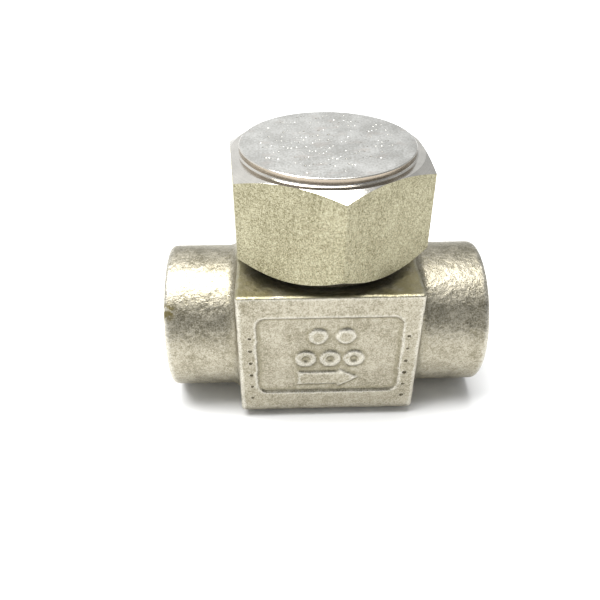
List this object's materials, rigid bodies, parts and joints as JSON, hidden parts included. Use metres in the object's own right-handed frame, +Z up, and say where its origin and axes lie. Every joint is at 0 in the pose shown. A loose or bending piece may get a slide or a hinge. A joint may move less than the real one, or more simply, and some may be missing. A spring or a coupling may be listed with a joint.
{
  "type": "check valve",
  "caption": "Stainless steel screwed-cap lift check valve: square block body, plain socket ends in line, tall hexagon cap, spring-loaded piston inside.",
  "frame": {"origin": "centre of the foot of the block, on the surface that the valve stands on", "axes": "+X along the pipe axis in the direction of flow, towards the outlet; +Z up, along the cap's axis; the face with the flow arrow looks along -Y"},
  "size_m": [0.08, 0.0514, 0.0669],
  "materials": {
    "cast_steel": "as cast, shot blasted",
    "cap_steel": "hexagon bar, blasted flats, turned top and chamfers",
    "turned_steel": "turned",
    "spring_steel": "drawn wire",
    "white_seal": "pressed PTFE",
    "dark_seal": "graphite"
  },
  "bodies": {
    "body": {"valve_body": "cast_steel", "inlet_end": "cast_steel", "outlet_end": "cast_steel", "valve_neck": "turned_steel", "seat_gasket": "dark_seal", "seat_ring": "turned_steel", "guide_cage": "turned_steel", "return_spring": "spring_steel"},
    "lift_piston": {"piston": "turned_steel", "seat_insert": "white_seal", "insert_retainer": "turned_steel", "lock_washer": "spring_steel", "retainer_nut": "turned_steel", "retainer_bolt": "turned_steel", "piston_ring_lower": "dark_seal", "piston_ring_upper": "dark_seal"},
    "cap_rise": {"cap_gasket": "dark_seal", "spring_washer": "turned_steel"},
    "cap": {"cap": "cap_steel"}
  },
  "joints": [
    {"name": "piston_lift", "type": "slide", "parent": "body", "child": "lift_piston", "axis": [0, 0, 1], "range_m": [0, 0.006], "stiffness_N_per_m": 340, "springref_m": -0.008, "deforming": ["return_spring"]},
    {"name": "cap_lift", "type": "slide", "parent": "body", "child": "cap_rise", "axis": [0, 0, 1], "range_m": [0, 0.016]},
    {"name": "cap_turn", "type": "hinge", "parent": "cap_rise", "child": "cap", "pos_m": [0, 0, 0.05], "axis": [0, 0, 1], "range_deg": [0, 2880]}
  ],
  "couplings": [
    {"joint": "cap_lift", "follows": "cap_turn", "m_per_rad": 0.0003183}
  ]
}
